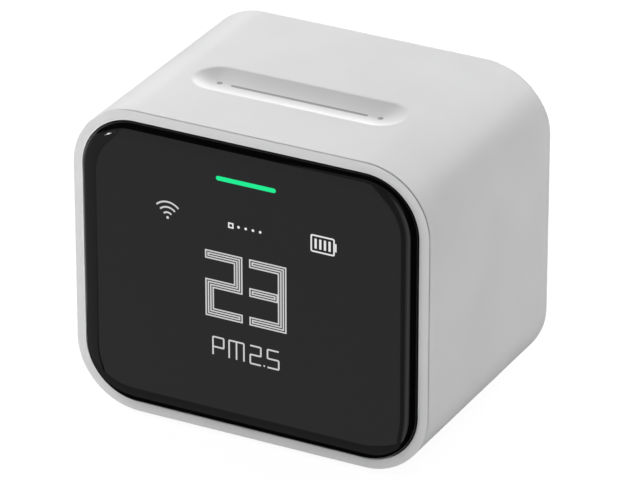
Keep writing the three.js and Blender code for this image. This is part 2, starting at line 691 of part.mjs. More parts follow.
// ---------------------------------------------------------------- CO2 sensor and climate sensor
add("co2_board", slab(CO2.width + 0.6, 1, CO2.height + 0.6, 1, CO2.x, CO2.board, CO2.z), MATERIAL.board);
add(
  "co2_sensor",
  pillow(CO2.width, CO2.back - CO2.front, CO2.height, 1.6, CO2.x, CO2.front, CO2.z, 0.6),
  MATERIAL.gold,
);
add("co2_membrane", slab(7, 0.4, 12, 1, CO2.x, CO2.back + SOLDER_GAP, CO2.z + 4), MATERIAL.ivory);
add(
  "climate_board",
  slab(CLIMATE.width, CLIMATE.thick, CLIMATE.height, 0.8, CLIMATE.x, CLIMATE.front, CLIMATE.z),
  MATERIAL.board,
);
add(
  "climate_sensor",
  block(2.5, 0.9, 2.5, CLIMATE.x, CLIMATE.front + CLIMATE.thick + SOLDER_GAP, CLIMATE.z),
  MATERIAL.black,
);

// ---------------------------------------------------------------- USB-C inlet
function usbShell() {
  const { width, height, wall, front, back } = USB;
  const outside = slab(width, back - front, height, height / 2 - 0.01, 0, front, USB.z);
  const [innerWidth, innerHeight] = [width - 2 * wall, height - 2 * wall];
  const hollow = slab(innerWidth, 20, innerHeight, innerHeight / 2 - 0.01, 0, front + wall, USB.z);
  return carve(outside, [hollow]);
}

function usbTongue() {
  const base = slab(7.9, 1.2, 2.3, 1.1, 0, USB.front + USB.wall + SOLDER_GAP, USB.z);
  return carve(base, [], [block(6.6, 5.6, 0.7, 0, USB.front + 0.6, USB.z)]);
}

function usbBoard() {
  const { width, length, thick, front, top } = USB_BOARD;
  const plate = new THREE.BoxGeometry(width, length, thick).translate(0, front + length / 2, top - thick / 2);
  const holes = [-1, 1].map((side) =>
    upright(USB_SCREW.hole, top - 2, top + 1, side * USB_SCREW.x, USB_SCREW.depth),
  );
  return carve(plate, holes);
}

function usbScrew(side) {
  const x = side * USB_SCREW.x;
  const head = upright(USB_SCREW.head, USB_BOARD.top + SOLDER_GAP, USB_BOARD.top + 0.75, x, USB_SCREW.depth);
  const shank = upright(USB_SCREW.shank, -22, USB_BOARD.top + 0.4, x, USB_SCREW.depth, 12);
  return carve(head, [], [shank]);
}

// The ribbon cable from the inlet's board, under the battery to the main board.
function powerFlex() {
  const rear = [[30.8, -19.8], [29, -20.4], [27, -21.3], [24.5, -21.6]];
  const front = [[13, -21.6], [11, -21.3], [9.5, -20.4], [8.5, -19]];
  return ribbon([...rear, ...front], 10, 0.2, 0);
}

add("usb_shell", usbShell(), MATERIAL.steel);
add("usb_tongue", usbTongue(), MATERIAL.black);
add("usb_board", usbBoard(), MATERIAL.board);
add("usb_screw_left", usbScrew(-1), MATERIAL.steel);
add("usb_screw_right", usbScrew(1), MATERIAL.steel);
add("power_flex", powerFlex(), MATERIAL.flex);

// ---------------------------------------------------------------- rear cover and its screen
function rearCover() {
  const { inset, front, back, skirt, skirtFront } = COVER;
  const cup = bodySolid([
    [inset, skirtFront],
    [inset, back - 0.3],
    [inset + 0.3, back],
  ]);
  const hollow = bodySolid([
    [inset + skirt, skirtFront - 1],
    [inset + skirt, front],
  ]);
  const inlet = slab(USB.width + 1, 10, USB.height + 1, USB.height / 2 + 0.49, 0, front - 1, USB.z);
  const shell = carve(cup, [hollow, ...ventSlots(), inlet, ...catchWindows()]);
  const shelf = block(22, front + 0.2 - USB_BOARD.front, 1.6, 0, USB_BOARD.front, -21.8);
  const places = [-1, 1].map((side) => [side * USB_SCREW.x, USB_SCREW.depth]);
  const bosses = places.map(([x, depth]) => upright(USB_SCREW.boss, -21.2, USB_BOARD.top - 1.05, x, depth));
  const pilots = places.map(([x, depth]) => upright(0.7, -24, -19, x, depth, 16));
  return carve(shell, pilots, [shelf, ...bosses, ...climatePosts()]);
}

// The main vent's two rows of slots, and the climate sensor's three short ones.
function ventSlots() {
  const slots = [];
  for (const z of SLOT.rows)
    for (let i = 0; i < SLOT.columns; i++)
      slots.push(ventSlot((i - (SLOT.columns - 1) / 2) * SLOT.pitch, z, SLOT.length));
  for (const step of [-1, 0, 1]) slots.push(ventSlot(CLIMATE.x + step * SLOT.pitch, CLIMATE.z, 6));
  return slots;
}

// Windows through the cover's skirt, one for each catch in the sleeve.
function catchWindows() {
  const clearance = 0.3;
  const skirtZ = TOP - COVER.inset - COVER.skirt / 2;
  const width = CATCH.length + 2 * clearance;
  const length = CATCH.deep + 2 * clearance;
  return [-1, 1].flatMap((side) =>
    [-CATCH.x, CATCH.x].map((x) => block(width, length, 3, x, CATCH.depth - length / 2, side * skirtZ)),
  );
}

// Two posts that hold the climate sensor's board off the cover.
function climatePosts() {
  const boardBack = CLIMATE.front + CLIMATE.thick + SOLDER_GAP;
  return [[-3.2, 2.2], [3.2, -2.2]].map(([x, z]) =>
    rod(1.1, boardBack, COVER.front + 0.2, CLIMATE.x + x, CLIMATE.z + z, 16),
  );
}

// A round-ended upright vent slot's cutter.
function ventSlot(x, z, length) {
  const half = SLOT.width / 2;
  const outline = [];
  for (const side of [1, -1])
    for (let i = 0; i <= 4; i++) {
      const angle = side > 0 ? (Math.PI * i) / 4 : Math.PI + (Math.PI * i) / 4;
      outline.push([x + half * Math.cos(angle), z + side * (length / 2 - half) + half * Math.sin(angle)]);
    }
  return skin([{ outline, depth: COVER.front - 1 }, { outline, depth: COVER.back + 1 }], false);
}

add("dust_screen", slab(46, 0.3, 25, 5, 0, 41, 8.3), MATERIAL.black);
add("rear_cover", rearCover(), MATERIAL.white);

// ---------------------------------------------------------------- foot pad and its screws
function footPad() {
  const top = BOTTOM + FOOT.pocket - SOLDER_GAP;
  const pad = levelSlab(FOOT.width, FOOT.length, FOOT.corner, BOTTOM - FOOT_PROUD, top);
  const recesses = footScrewPlaces().map(([x, depth]) => upright(2.3, BOTTOM - 0.05, BOTTOM + 2, x, depth));
  return carve(pad, recesses);
}

function footScrew([x, depth]) {
  const top = BOTTOM + FOOT.pocket - SOLDER_GAP;
  const head = upright(FOOT_SCREW.head, top - FOOT_SCREW.headThick, top, x, depth);
  return carve(head, [], [upright(FOOT_SCREW.shank, top - 0.3, FOOT_SCREW.tip, x, depth, 12)]);
}

add("foot_pad", footPad(), MATERIAL.rubber);
footScrewPlaces().forEach((place, i) => {
  add(["foot_screw_left", "foot_screw_right"][i], footScrew(place), MATERIAL.steel);
});

export default monitor;
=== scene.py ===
"""Desk air quality monitor: fine surfaces, display, materials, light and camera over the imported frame."""
import json
import math

import bmesh
import bpy
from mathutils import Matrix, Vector

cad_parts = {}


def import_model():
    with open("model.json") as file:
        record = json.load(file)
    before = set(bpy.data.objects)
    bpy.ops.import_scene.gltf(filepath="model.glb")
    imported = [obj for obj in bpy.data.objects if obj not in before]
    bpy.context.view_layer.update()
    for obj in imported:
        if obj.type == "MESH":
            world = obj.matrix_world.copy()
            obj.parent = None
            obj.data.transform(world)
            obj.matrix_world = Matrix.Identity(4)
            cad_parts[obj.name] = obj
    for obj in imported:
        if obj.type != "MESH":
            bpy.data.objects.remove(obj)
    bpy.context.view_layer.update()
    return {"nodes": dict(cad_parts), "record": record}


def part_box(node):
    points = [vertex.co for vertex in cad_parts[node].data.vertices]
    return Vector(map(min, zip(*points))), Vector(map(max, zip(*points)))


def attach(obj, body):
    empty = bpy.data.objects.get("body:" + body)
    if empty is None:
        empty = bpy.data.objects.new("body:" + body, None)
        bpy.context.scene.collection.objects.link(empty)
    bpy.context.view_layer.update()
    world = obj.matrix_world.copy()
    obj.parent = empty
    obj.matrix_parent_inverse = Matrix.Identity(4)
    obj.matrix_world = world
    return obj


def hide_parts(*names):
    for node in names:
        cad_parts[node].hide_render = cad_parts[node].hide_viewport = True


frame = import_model()
MM = 0.001

# ---------------------------------------------------------------- reference planes in mm, from the CAD boxes
SLEEVE_LOW, SLEEVE_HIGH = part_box("sleeve_housing")
FOOT_LOW, FOOT_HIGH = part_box("foot_pad")
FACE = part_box("front_bezel")[0].y / MM  # front of the bezel
LENS_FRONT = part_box("front_lens")[0].y / MM
MIDDLE = (SLEEVE_LOW.z + SLEEVE_HIGH.z) / 2 / MM  # the sleeve's middle height
HALF_W = (SLEEVE_HIGH.x - SLEEVE_LOW.x) / 2 / MM
HALF_H = (SLEEVE_HIGH.z - SLEEVE_LOW.z) / 2 / MM
DEPTH = SLEEVE_HIGH.y / MM - FACE
LENS_PROUD = FACE - LENS_FRONT  # how far the lens stands ahead of the bezel
CORNER = 11.0  # radius of the body's four long corners

ARC = 28  # facets in each long corner of the fine surfaces
WELD = 1e-7  # metres; points closer than this are one


def at(x, depth, height):
    """A point in metres from millimetres: across, back from the bezel's front, up from the middle."""
    return Vector((x * MM, (FACE + depth) * MM, (MIDDLE + height) * MM))


# ---------------------------------------------------------------- mesh helpers
def new_object(name, verts, faces, mat):
    """A mesh object, its faces turned outwards; with a material it is a piece, and rides on the case."""
    mesh = bpy.data.meshes.new(name)
    mesh.from_pydata([tuple(v) for v in verts], [], faces)
    mesh.validate()
    obj = bpy.data.objects.new(name, mesh)
    bpy.context.scene.collection.objects.link(obj)
    clean(obj)
    if mat is not None:
        mesh.materials.append(mat)
        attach(obj, "case")
    return obj


def clean(obj):
    """Welds doubled points and turns the faces outwards."""
    bm = bmesh.new()
    bm.from_mesh(obj.data)
    bmesh.ops.remove_doubles(bm, verts=bm.verts, dist=WELD)
    bmesh.ops.recalc_face_normals(bm, faces=bm.faces)
    bm.to_mesh(obj.data)
    bm.free()


def smooth(obj, angle=32):
    """Smooth shading that stays crisp where faces meet at more than angle degrees."""
    obj.data.polygons.foreach_set("use_smooth", [True] * len(obj.data.polygons))
    obj.data.set_sharp_from_angle(angle=math.radians(angle))


def apply_modifier(obj, modifier):
    """Works the modifier into obj's mesh."""
    bpy.context.view_layer.objects.active = obj
    with bpy.context.temp_override(object=obj, active_object=obj, selected_objects=[obj]):
        bpy.ops.object.modifier_apply(modifier=modifier.name)


def cut(obj, cutter):
    """Cuts the cutter out of obj, then removes it."""
    modifier = obj.modifiers.new("cut", "BOOLEAN")
    modifier.operation = "DIFFERENCE"
    modifier.solver = "EXACT"
    modifier.object = cutter
    apply_modifier(obj, modifier)
    bpy.data.objects.remove(cutter, do_unlink=True)


def soften(obj, width, segments, angle):
    """Rounds the edges whose faces meet at more than angle degrees, by width mm."""
    modifier = obj.modifiers.new("soften", "BEVEL")
    modifier.width = width * MM
    modifier.segments = segments
    modifier.limit_method = "ANGLE"
    modifier.angle_limit = math.radians(angle)
    modifier.miter_outer = "MITER_ARC"
    apply_modifier(obj, modifier)


def weigh_normals(obj):
    """Lets the large flat faces set the shading at their edges."""
    modifier = obj.modifiers.new("weigh", "WEIGHTED_NORMAL")
    modifier.weight = 100
    modifier.keep_sharp = True
    apply_modifier(obj, modifier)


def outline(half_w, half_h, radius, steps=ARC):
    """A rounded rectangle, counter-clockwise from the right side's top."""
    points = []
    for quarter, (sx, sz) in enumerate([(1, 1), (-1, 1), (-1, -1), (1, -1)]):
        for step in range(steps + 1):
            angle = math.pi / 2 * (quarter + step / steps)
            x = sx * (half_w - radius) + radius * math.cos(angle)
            z = sz * (half_h - radius) + radius * math.sin(angle)
            points.append((x, z))
    return points


def body_outline(inset):
    """The body's outline, seen from the front, moved inwards by inset."""
    return outline(HALF_W - inset, HALF_H - inset, CORNER - inset)


def bands(rings, count, closed=False):
    """Faces between neighbouring rings of count points; closed also joins the last ring to the first."""
    faces = []
    for s in range(rings if closed else rings - 1):
        here, there = s * count, (s + 1) % rings * count
        for i in range(count):
            j = (i + 1) % count
            faces.append((here + i, there + i, there + j, here + j))
    return faces


def ends(rings, count):
    """The two faces that close the first and the last ring."""
    return [tuple(range(count)), tuple(reversed(range((rings - 1) * count, rings * count)))]


def ring_points(sections):
    """All the points of a run of (outline, depth) sections."""
    return [at(x, depth, z) for points, depth in sections for x, z in points]


def capped(name, sections, mat):
    """A solid over a run of sections, closed at both ends."""
    rings, count = len(sections), len(sections[0][0])
    return new_object(name, ring_points(sections), bands(rings, count) + ends(rings, count), mat)


def cutting_slab(half_w, half_h, radius, depths, centre, steps):
    """A rounded slab facing the front, to be cut out of the rear cover."""
    points = [(x + centre[0], z + centre[1]) for x, z in outline(half_w, half_h, radius, steps)]
    return capped("cutter", [(points, depth) for depth in depths], None)


def fillet(inset, depth, radius, start, end, steps):
    """Points of an arc in the profile plane, angles in degrees: 0 is inwards, 90 is to the back."""
    points = []
    for i in range(steps + 1):
        angle = math.radians(start + (end - start) * i / steps)
        points.append((inset + radius * math.cos(angle), depth + radius * math.sin(angle)))
    return points


# ---------------------------------------------------------------- materials
def material(name, color, roughness, metallic=0.0, **sockets):
    """A Principled material, its sockets set straight on the shader."""
    mat = bpy.data.materials.new(name)
    mat.use_nodes = True
    shader = mat.node_tree.nodes["Principled BSDF"]
    shader.inputs["Base Color"].default_value = (*color, 1)
    shader.inputs["Roughness"].default_value = roughness
    shader.inputs["Metallic"].default_value = metallic
    for socket, value in sockets.items():
        shader.inputs[socket.replace("_", " ")].default_value = value
    return mat


def noise(mat, scale, detail, kind="ShaderNodeTexNoise"):
    """An object-space noise texture of the given scale (per metre)."""
    nodes, links = mat.node_tree.nodes, mat.node_tree.links
    where = nodes.new("ShaderNodeTexCoord")
    texture = nodes.new(kind)
    texture.inputs["Scale"].default_value = scale
    if "Detail" in texture.inputs:
        texture.inputs["Detail"].default_value = detail
    links.new(where.outputs["Object"], texture.inputs["Vector"])
    return texture


def ramp(mat, source, stops):
    """Colour stops [(position, rgb)] over a texture's factor."""
    nodes, links = mat.node_tree.nodes, mat.node_tree.links
    node = nodes.new("ShaderNodeValToRGB")
    elements = node.color_ramp.elements
    while len(elements) < len(stops):
        elements.new(0.5)
    for element, (position, color) in zip(elements, stops):
        element.position = position
        element.color = (*color, 1)
    links.new(source, node.inputs["Fac"])
    return node.outputs["Color"]


def span(mat, source, low, high):
    """source, 0 to 1, mapped to low to high."""
    node = mat.node_tree.nodes.new("ShaderNodeMapRange")
    node.inputs["To Min"].default_value = low
    node.inputs["To Max"].default_value = high
    mat.node_tree.links.new(source, node.inputs["Value"])
    return node.outputs["Result"]


def wire_up(mat, socket, source):
    """Links source to one of the shader's sockets."""
    mat.node_tree.links.new(source, mat.node_tree.nodes["Principled BSDF"].inputs[socket])


def bump(mat, source, height_mm):
    """Raises the surface's shading by source, up to height_mm."""
    node = mat.node_tree.nodes.new("ShaderNodeBump")
    node.inputs["Strength"].default_value = 1.0
    node.inputs["Distance"].default_value = height_mm * MM
    mat.node_tree.links.new(source, node.inputs["Height"])
    wire_up(mat, "Normal", node.outputs["Normal"])


MOTTLE = {"scale": 60, "stray": 0.02}  # slow change of a moulded colour, as a share of it
SHEEN = {"scale": 900, "stray": 0.05}  # change of a moulded surface's roughness


def moulded(name, color, roughness, grain=0.004, grain_scale=5200, **sockets):
    """Moulded plastic: a spark-eroded grain (mm high), slow mottling of the colour and of the sheen."""
    mat = material(name, color, roughness, **sockets)
    slow = noise(mat, MOTTLE["scale"], 2.0).outputs["Fac"]
    darker = tuple(c * (1 - MOTTLE["stray"]) for c in color)
    lighter = tuple(min(1, c * (1 + MOTTLE["stray"])) for c in color)
    wire_up(mat, "Base Color", ramp(mat, slow, [(0.35, darker), (0.65, lighter)]))
    sheen = noise(mat, SHEEN["scale"], 4.0).outputs["Fac"]
    wire_up(mat, "Roughness", span(mat, sheen, roughness - SHEEN["stray"], roughness + SHEEN["stray"]))
    bump(mat, noise(mat, grain_scale, 2.0).outputs["Fac"], grain)
    return mat


WHITE = moulded("white_shell", (0.80, 0.80, 0.805), 0.42, Specular_IOR_Level=0.35)
WHITE_BEZEL = moulded("white_bezel", (0.80, 0.80, 0.805), 0.36, grain=0.002, Specular_IOR_Level=0.35)
# painted shade: a near-black that stands for the shadow inside the seam between the bezel and the sleeve
PAINTED_SEAM_SHADE = moulded("painted_seam_shade", (0.025, 0.025, 0.026), 0.7)
WHITE_REAR = moulded("white_rear", (0.78, 0.78, 0.785), 0.5, grain=0.006, Specular_IOR_Level=0.3)


def black_glass():
    """The lens: polished, with the faintest smear in its gloss."""
    mat = material("black_lens", (0.0025, 0.0025, 0.0028), 0.06, IOR=1.34)
    wire_up(mat, "Roughness", span(mat, noise(mat, 130, 5.0).outputs["Fac"], 0.045, 0.075))
    return mat


LENS = black_glass()


def glow(name, color):
    """A lit figure of the display: it gives off its colour and reflects nothing."""
    return material(
        name, (0, 0, 0), 0.4, Specular_IOR_Level=0.0, Emission_Color=(*color, 1), Emission_Strength=1.0
    )


GLOW_GREEN = glow("glow_green", (0.018, 0.86, 0.30))
GLOW_WHITE = glow("glow_white", (0.80, 0.80, 0.80))
GLOW_DIM = glow("glow_dim", (0.62, 0.62, 0.62))


def rubber():
    """Matt grey rubber with a coarse grain."""
    mat = material("foot_rubber", (0.33, 0.33, 0.34), 0.85)
    bump(mat, noise(mat, 3000, 3.0, "ShaderNodeTexVoronoi").outputs["Distance"], 0.02)
    wire_up(mat, "Roughness", span(mat, noise(mat, 400, 4.0).outputs["Fac"], 0.75, 0.95))
    return mat


RUBBER = rubber()


WAVE_PHASE = 20.0  # a wave texture's phase at a scale of 1, in radians per unit


def woven(name, color, pitch_mm):
    """A fine woven screen; its threads are pitch_mm wide and pitch_mm apart."""
    mat = material(name, color, 0.7)
    nodes, links = mat.node_tree.nodes, mat.node_tree.links
    where = nodes.new("ShaderNodeTexCoord")
    height = None
    for axis in ("X", "Z"):
        wave = nodes.new("ShaderNodeTexWave")
        wave.bands_direction = axis
        wave.inputs["Scale"].default_value = math.pi / (pitch_mm * MM) / WAVE_PHASE
        links.new(where.outputs["Object"], wave.inputs["Vector"])
        if height is None:
            height = wave.outputs["Fac"]
        else:
            top = nodes.new("ShaderNodeMath")
            top.operation = "MAXIMUM"
            links.new(height, top.inputs[0])
            links.new(wave.outputs["Fac"], top.inputs[1])
            height = top.outputs["Value"]
    dark = tuple(c * 0.25 for c in color)
    wire_up(mat, "Base Color", ramp(mat, height, [(0.3, dark), (0.8, color)]))
    bump(mat, height, 0.12)
    return mat


def brushed(name, color, roughness):
    """Metal with an uneven sheen."""
    mat = material(name, color, roughness, metallic=1.0)
    sheen = noise(mat, 1500, 5.0).outputs["Fac"]
    wire_up(mat, "Roughness", span(mat, sheen, roughness - 0.08, roughness + 0.12))
    bump(mat, noise(mat, 4000, 2.0).outputs["Fac"], 0.003)
    return mat


def circuit():
    """Green solder mask with a small bare pad in the middle of each cell."""
    pad, rim, mask = (0.35, 0.30, 0.12), (0.02, 0.14, 0.05), (0.012, 0.09, 0.035)
    mat = material("circuit_board", mask, 0.35, Coat_Weight=0.4)
    cells = noise(mat, 700, 0.0, "ShaderNodeTexVoronoi")
    cells.distance = "CHEBYCHEV"
    wire_up(mat, "Base Color", ramp(mat, cells.outputs["Distance"], [(0.0, pad), (0.08, rim), (0.6, mask)]))
    bump(mat, cells.outputs["Distance"], 0.03)
    return mat


FINISHES = {
    "inner_black": moulded("inner_black", (0.018, 0.018, 0.02), 0.55),
    "inner_grey": moulded("inner_grey", (0.28, 0.29, 0.30), 0.55),
    "display_glass": moulded("display_glass", (0.008, 0.009, 0.012), 0.12, grain=0.0005),
    "clear_acrylic": moulded("clear_acrylic", (0.75, 0.92, 0.84), 0.3, Transmission_Weight=0.6),
    "circuit_board": circuit(),
    "flex_film": moulded("flex_film", (0.42, 0.15, 0.02), 0.35, Coat_Weight=0.5),
    "ivory_plastic": moulded("ivory_plastic", (0.75, 0.70, 0.55), 0.5),
    "foam": moulded("foam", (0.03, 0.03, 0.032), 0.95, grain=0.05, grain_scale=2500),
    "cable_red": moulded("cable_red", (0.45, 0.02, 0.015), 0.45),
    "cable_black": moulded("cable_black", (0.015, 0.015, 0.015), 0.45),
    "cable_grey": moulded("cable_grey", (0.30, 0.30, 0.31), 0.5),
    "pouch_foil": brushed("pouch_foil", (0.62, 0.63, 0.65), 0.42),
    "steel": brushed("steel", (0.56, 0.57, 0.58), 0.28),
    "brass": brushed("brass", (0.70, 0.50, 0.20), 0.3),
    "gold_can": brushed("gold_can", (0.80, 0.60, 0.26), 0.25),
    "copper_winding": brushed("copper_winding", (0.60, 0.24, 0.11), 0.4),
    "magnet": brushed("magnet", (0.08, 0.08, 0.085), 0.55),
    "dust_mesh": woven("dust_mesh", (0.045, 0.045, 0.048), 0.35),
    "membrane": moulded("membrane", (0.82, 0.81, 0.78), 0.9, grain=0.02, grain_scale=3000),
}


def shade_profile_spans(ring, count, first, last):
    """Gives the second material, the painted seam shade, to the faces between two profile points; an outline
    has count points.
    """
    rings = len(ring.data.vertices) // count
    for face in ring.data.polygons:
        spans = sorted({v // count for v in face.vertices})
        if spans == [0, rings - 1]:
            spans = [rings - 1, rings]
        if len(spans) == 2 and first <= spans[0] and spans[1] <= last:
            face.material_index = 1


# ---------------------------------------------------------------- sleeve with its touch groove
GROOVE = {
    "length": 36.8,
    "width": 8.65,
    "middle": 16.87,  # back from the bezel's front
    "centre_slope": 0.12,
    "rim_slope": 0.30,
    "crease": 0.15,  # rounds the bottom
    "rim": 0.03,  # rounds the rim
    "reach": 1.6,  # half widths from the middle where the walls' formula stops
}
SINK_SPAN = (-12, 60)  # beyond these multiples of the rim's rounding, the sink is nil, or isn't rounded
TOP_STEPS = 240  # facets across the flat of the top


def groove_sink(x, depth):
    """How far the groove has sunk below the top at a point: walls that steepen towards a soft rim."""
    half = GROOVE["width"] / 2
    run = GROOVE["length"] / 2 - half
    away = math.hypot(max(abs(x) - run, 0.0), depth - GROOVE["middle"], GROOVE["crease"])
    low, high, soft = GROOVE["centre_slope"], GROOVE["rim_slope"], GROOVE["rim"]
    t = min(away / half, GROOVE["reach"])
    sunk = half * (low * (1 - t) + (high - low) * (1 - t * t) / 2)
    if sunk <= SINK_SPAN[0] * soft:
        return 0.0
    return soft * math.log(1 + math.exp(min(sunk / soft, SINK_SPAN[1])))


def sleeve_perimeter():
    """Outline points, starting at the right side's top corner, with a fine row across the top."""
    points = outline(HALF_W, HALF_H, CORNER)
    flat = HALF_W - CORNER
    top = [(flat - 2 * flat * i / TOP_STEPS, HALF_H) for i in range(1, TOP_STEPS)]
    return points[: ARC + 1] + top + points[ARC + 1 :]


def inward(point, inset):
    """An outline point moved inwards by inset, along its normal."""
    x, z = point
    cx = max(-(HALF_W - CORNER), min(HALF_W - CORNER, x))
    cz = max(-(HALF_H - CORNER), min(HALF_H - CORNER, z))
    nx, nz = (x - cx) / CORNER, (z - cz) / CORNER
    return x - nx * inset, z - nz * inset


HOLD = 0.03  # mm; a narrow band that keeps a flat stretch's shading clear of the round next to it


def sleeve():
    """The wraparound sleeve: rounded rear rim, stepped front lip, groove sunk into the top."""
    front = SLEEVE_LOW.y / MM - FACE
    nose, rim = 0.07, 1.0  # rounds of the front and the rear edge
    wall, lip, lip_back = 1.6, 0.6, 3.4  # the wall is thinner in front, where the bezel's skirt slides in
    chamfer = 0.15
    profile = [(nose + HOLD, front), (nose, front), (nose * 0.3, front + nose * 0.3), (0, front + nose)]
    profile += [(0, front + nose + HOLD)]
    fine = [GROOVE["middle"] - 5 + 0.1 * i for i in range(101)]
    rows = [2, 4, 6, 8, 10, 11] + fine + [24, 27, 30, 34, 38, DEPTH - rim - HOLD, DEPTH - rim]
    profile += [(0, depth) for depth in rows]
    profile += fillet(rim, DEPTH - rim, rim, 180, 90, 6)[1:]
    profile += [(wall - chamfer, DEPTH), (wall, DEPTH - chamfer), (wall, 30)]
    profile += [(wall, lip_back), (lip, lip_back), (lip, front)]
    perimeter = sleeve_perimeter()
    verts = []
    for inset, depth in profile:
        for point in perimeter:
            x, z = inward(point, inset)
            if inset == 0 and point[1] >= HALF_H - 1e-9:  # on the top's flat
                z -= groove_sink(x, depth)
            verts.append(at(x, depth, z))
    shell = new_object("sleeve_surface", verts, bands(len(profile), len(perimeter), closed=True), WHITE)
    # the sleeve's front face, seen through the seam, is painted near-black as painted shade
    shell.data.materials.append(PAINTED_SEAM_SHADE)
    shade_profile_spans(shell, len(perimeter), len(profile) - 1, len(profile))
    smooth(shell, 40)
    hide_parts("sleeve_housing")


GROOVE_MARKS = (  # middle across, half length and half width in mm
    ("groove_line", -0.1, 12.0, 0.31),
    ("groove_dot_left", -14.1, 0.46, 0.46),
    ("groove_dot_right", 14.1, 0.46, 0.46),
)
MARK_FOOT, MARK_LIFT = -0.15, 0.012  # mm; how deep a mark is let in, and how far its face stands out


def groove_marks():
    """The touch strip's line and its two end dots, following the groove's bottom."""
    mat = moulded("groove_mark", (0.38, 0.38, 0.39), 0.5)
    for name, x, half_x, half_y in GROOVE_MARKS:
        verts = []
        rings = [(0.0, MARK_FOOT), (0.0, MARK_LIFT), (half_y * 0.5, MARK_LIFT), (half_y * 0.97, MARK_LIFT)]
        for inset, lift in rings:
            points = outline(half_x - inset, half_y - inset, half_y - inset - 0.001, 8)
            places = [(x + px, GROOVE["middle"] + py) for px, py in points]
            verts += [at(px, py, HALF_H - groove_sink(px, py) + lift) for px, py in places]
        count = len(verts) // len(rings)
        mark = new_object(name, verts, ends(len(rings), count) + bands(len(rings), count), mat)
        smooth(mark)


# ---------------------------------------------------------------- bezel and lens
BAND = {
    "width": 1.7,
    "edge": 0.08,  # round of the outer edge
    "end": 0.10,  # where the outer edge turns in behind the face
    "lip": 0.09,  # height of the inner edge's lip
    "lip_width": 0.3,
}


def bezel():
    """The white band round the lens with a faint raised lip; its skirt, ledge and tongue are painted dark, a
    painted shade for the seam.
    """
    width, edge, end, lip = (BAND[k] for k in ("width", "edge", "end", "lip"))
    flat = width - BAND["lip_width"]  # inset of the face's flat inner end
    face = [(edge + HOLD, 0)] + fillet(edge, edge, edge, 270, 180, 8) + [(0, edge + HOLD)]
    skirt = [(0, end), (0.85, end), (0.85, 3.1), (1.8, 3.1), (1.8, 6.2), (3.0, 6.2), (3.0, 3.1)]
    ledge = [(3.6, 3.1), (3.6, 1.9), (width, 1.9)]
    inner = [(width, 0.12), (width - 0.02, 0), (width - 0.07, -lip), (flat, 0), (flat - HOLD, 0)]
    profile = face + skirt + ledge + inner
    count = len(body_outline(0))
    verts = ring_points([(body_outline(inset), depth) for inset, depth in profile])
    ring = new_object("bezel_surface", verts, bands(len(profile), count, closed=True), WHITE_BEZEL)
    # the skirt and ledge, seen through the seam, are painted near-black as painted shade
    ring.data.materials.append(PAINTED_SEAM_SHADE)
    shade_profile_spans(ring, count, len(face), len(face + skirt + ledge) - 1)
    smooth(ring, 40)
    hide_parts("front_bezel")


LENS_EDGE = {
    "inset": 1.8,
    "back": 1.7,
    "shoulder": 2.1,  # width of the shoulder, and its radius below
    "radius": 10.0,
    "edge": 0.9,  # width of the tight edge
}
SHOULDER_STEPS, EDGE_STEPS = 14, 16


def lens_profile():
    """(inset, depth) points from the flat front outwards: a wide soft shoulder, then a tight edge."""
    inset, shoulder, radius, edge = (LENS_EDGE[k] for k in ("inset", "shoulder", "radius", "edge"))
    turn = math.asin(shoulder / radius)
    edge_radius = edge / (1 - math.sin(turn))
    points = []
    for i in range(SHOULDER_STEPS + 1):
        tilt = turn * i / SHOULDER_STEPS
        drop = radius * (1 - math.cos(tilt))
        points.append((inset + edge + shoulder - radius * math.sin(tilt), drop - LENS_PROUD))
    shoulder_drop = radius * (1 - math.cos(turn))
    for i in range(1, EDGE_STEPS + 1):
        tilt = turn + (math.pi / 2 - turn) * i / EDGE_STEPS
        drop = shoulder_drop + edge_radius * (math.cos(turn) - math.cos(tilt))
        points.append((inset + edge_radius * (1 - math.sin(tilt)), drop - LENS_PROUD))
    return points + [(inset, LENS_EDGE["back"])]


def lens():
    """The polished black front."""
    piece = capped("lens_surface", [(body_outline(inset), depth) for inset, depth in lens_profile()], LENS)
    smooth(piece, 50)
    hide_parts("front_lens")


# ---------------------------------------------------------------- the display, in mm from its middle
INK = 0.012  # mm; a lit figure reaches this far in front of the lens's flat face, and behind it
MITRE_LIMIT = 0.35  # the least cosine that a ribbon's mitre is lengthened by
STROKE_LOOPS = 2  # nested loops in a wide stroke, which show as twice as many lines
DISC_STEPS = 20
CORNER_STEPS = 5


def ribbon(points, width, closed):
    """Left and right edges of a mitred ribbon along points (x, z)."""
    count = len(points)
    left, right = [], []
    for i, point in enumerate(points):
        before = points[(i - 1) % count] if closed or i else None
        after = points[(i + 1) % count] if closed or i < count - 1 else None
        pairs = [(a, b) for a, b in ((before, point), (point, after)) if a is not None and b is not None]
        steps = [Vector(b) - Vector(a) for a, b in pairs]
        steps = [s.normalized() for s in steps if s.length > 1e-9]  # doubled points have no direction
        normals = [Vector((-s.y, s.x)) for s in steps]
        mitre = sum(normals, Vector((0, 0))).normalized()
        reach = width / 2 / max(mitre.dot(normals[0]), MITRE_LIMIT)
        left.append(Vector(point) + mitre * reach)
        right.append(Vector(point) - mitre * reach)
    return left, right


